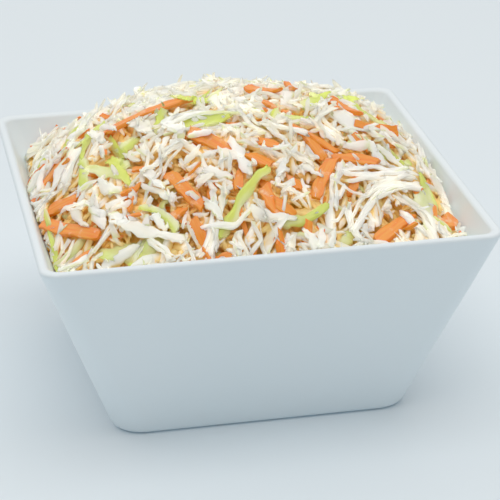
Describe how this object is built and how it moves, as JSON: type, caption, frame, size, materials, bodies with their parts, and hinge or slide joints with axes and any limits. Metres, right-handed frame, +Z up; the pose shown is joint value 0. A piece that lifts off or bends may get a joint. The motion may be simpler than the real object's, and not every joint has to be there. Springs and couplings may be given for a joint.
{
  "type": "coleslaw in a square bowl",
  "caption": "Square flared white bowl heaped with shredded cabbage, carrot strips and green leaf in a light dressing, standing on its flat foot.",
  "frame": {"origin": "on the table, under the middle of the bowl's foot", "axes": "+Z up out of the bowl's mouth, +X to the right and +Y to the back, each along a side of the square"},
  "size_m": [0.14, 0.14, 0.0951],
  "materials": {
    "bowl_glaze": "smooth white glaze with a soft satin gloss",
    "cabbage": "moist white cabbage under a thin dressing",
    "green_leaf": "moist yellow-green outer leaf",
    "carrot": "moist orange carrot with a pale film of dressing",
    "dressing": "glossy creamy dressing"
  },
  "bodies": {
    "root": {"bowl": "bowl_glaze", "slaw": "cabbage"}
  },
  "joints": []
}
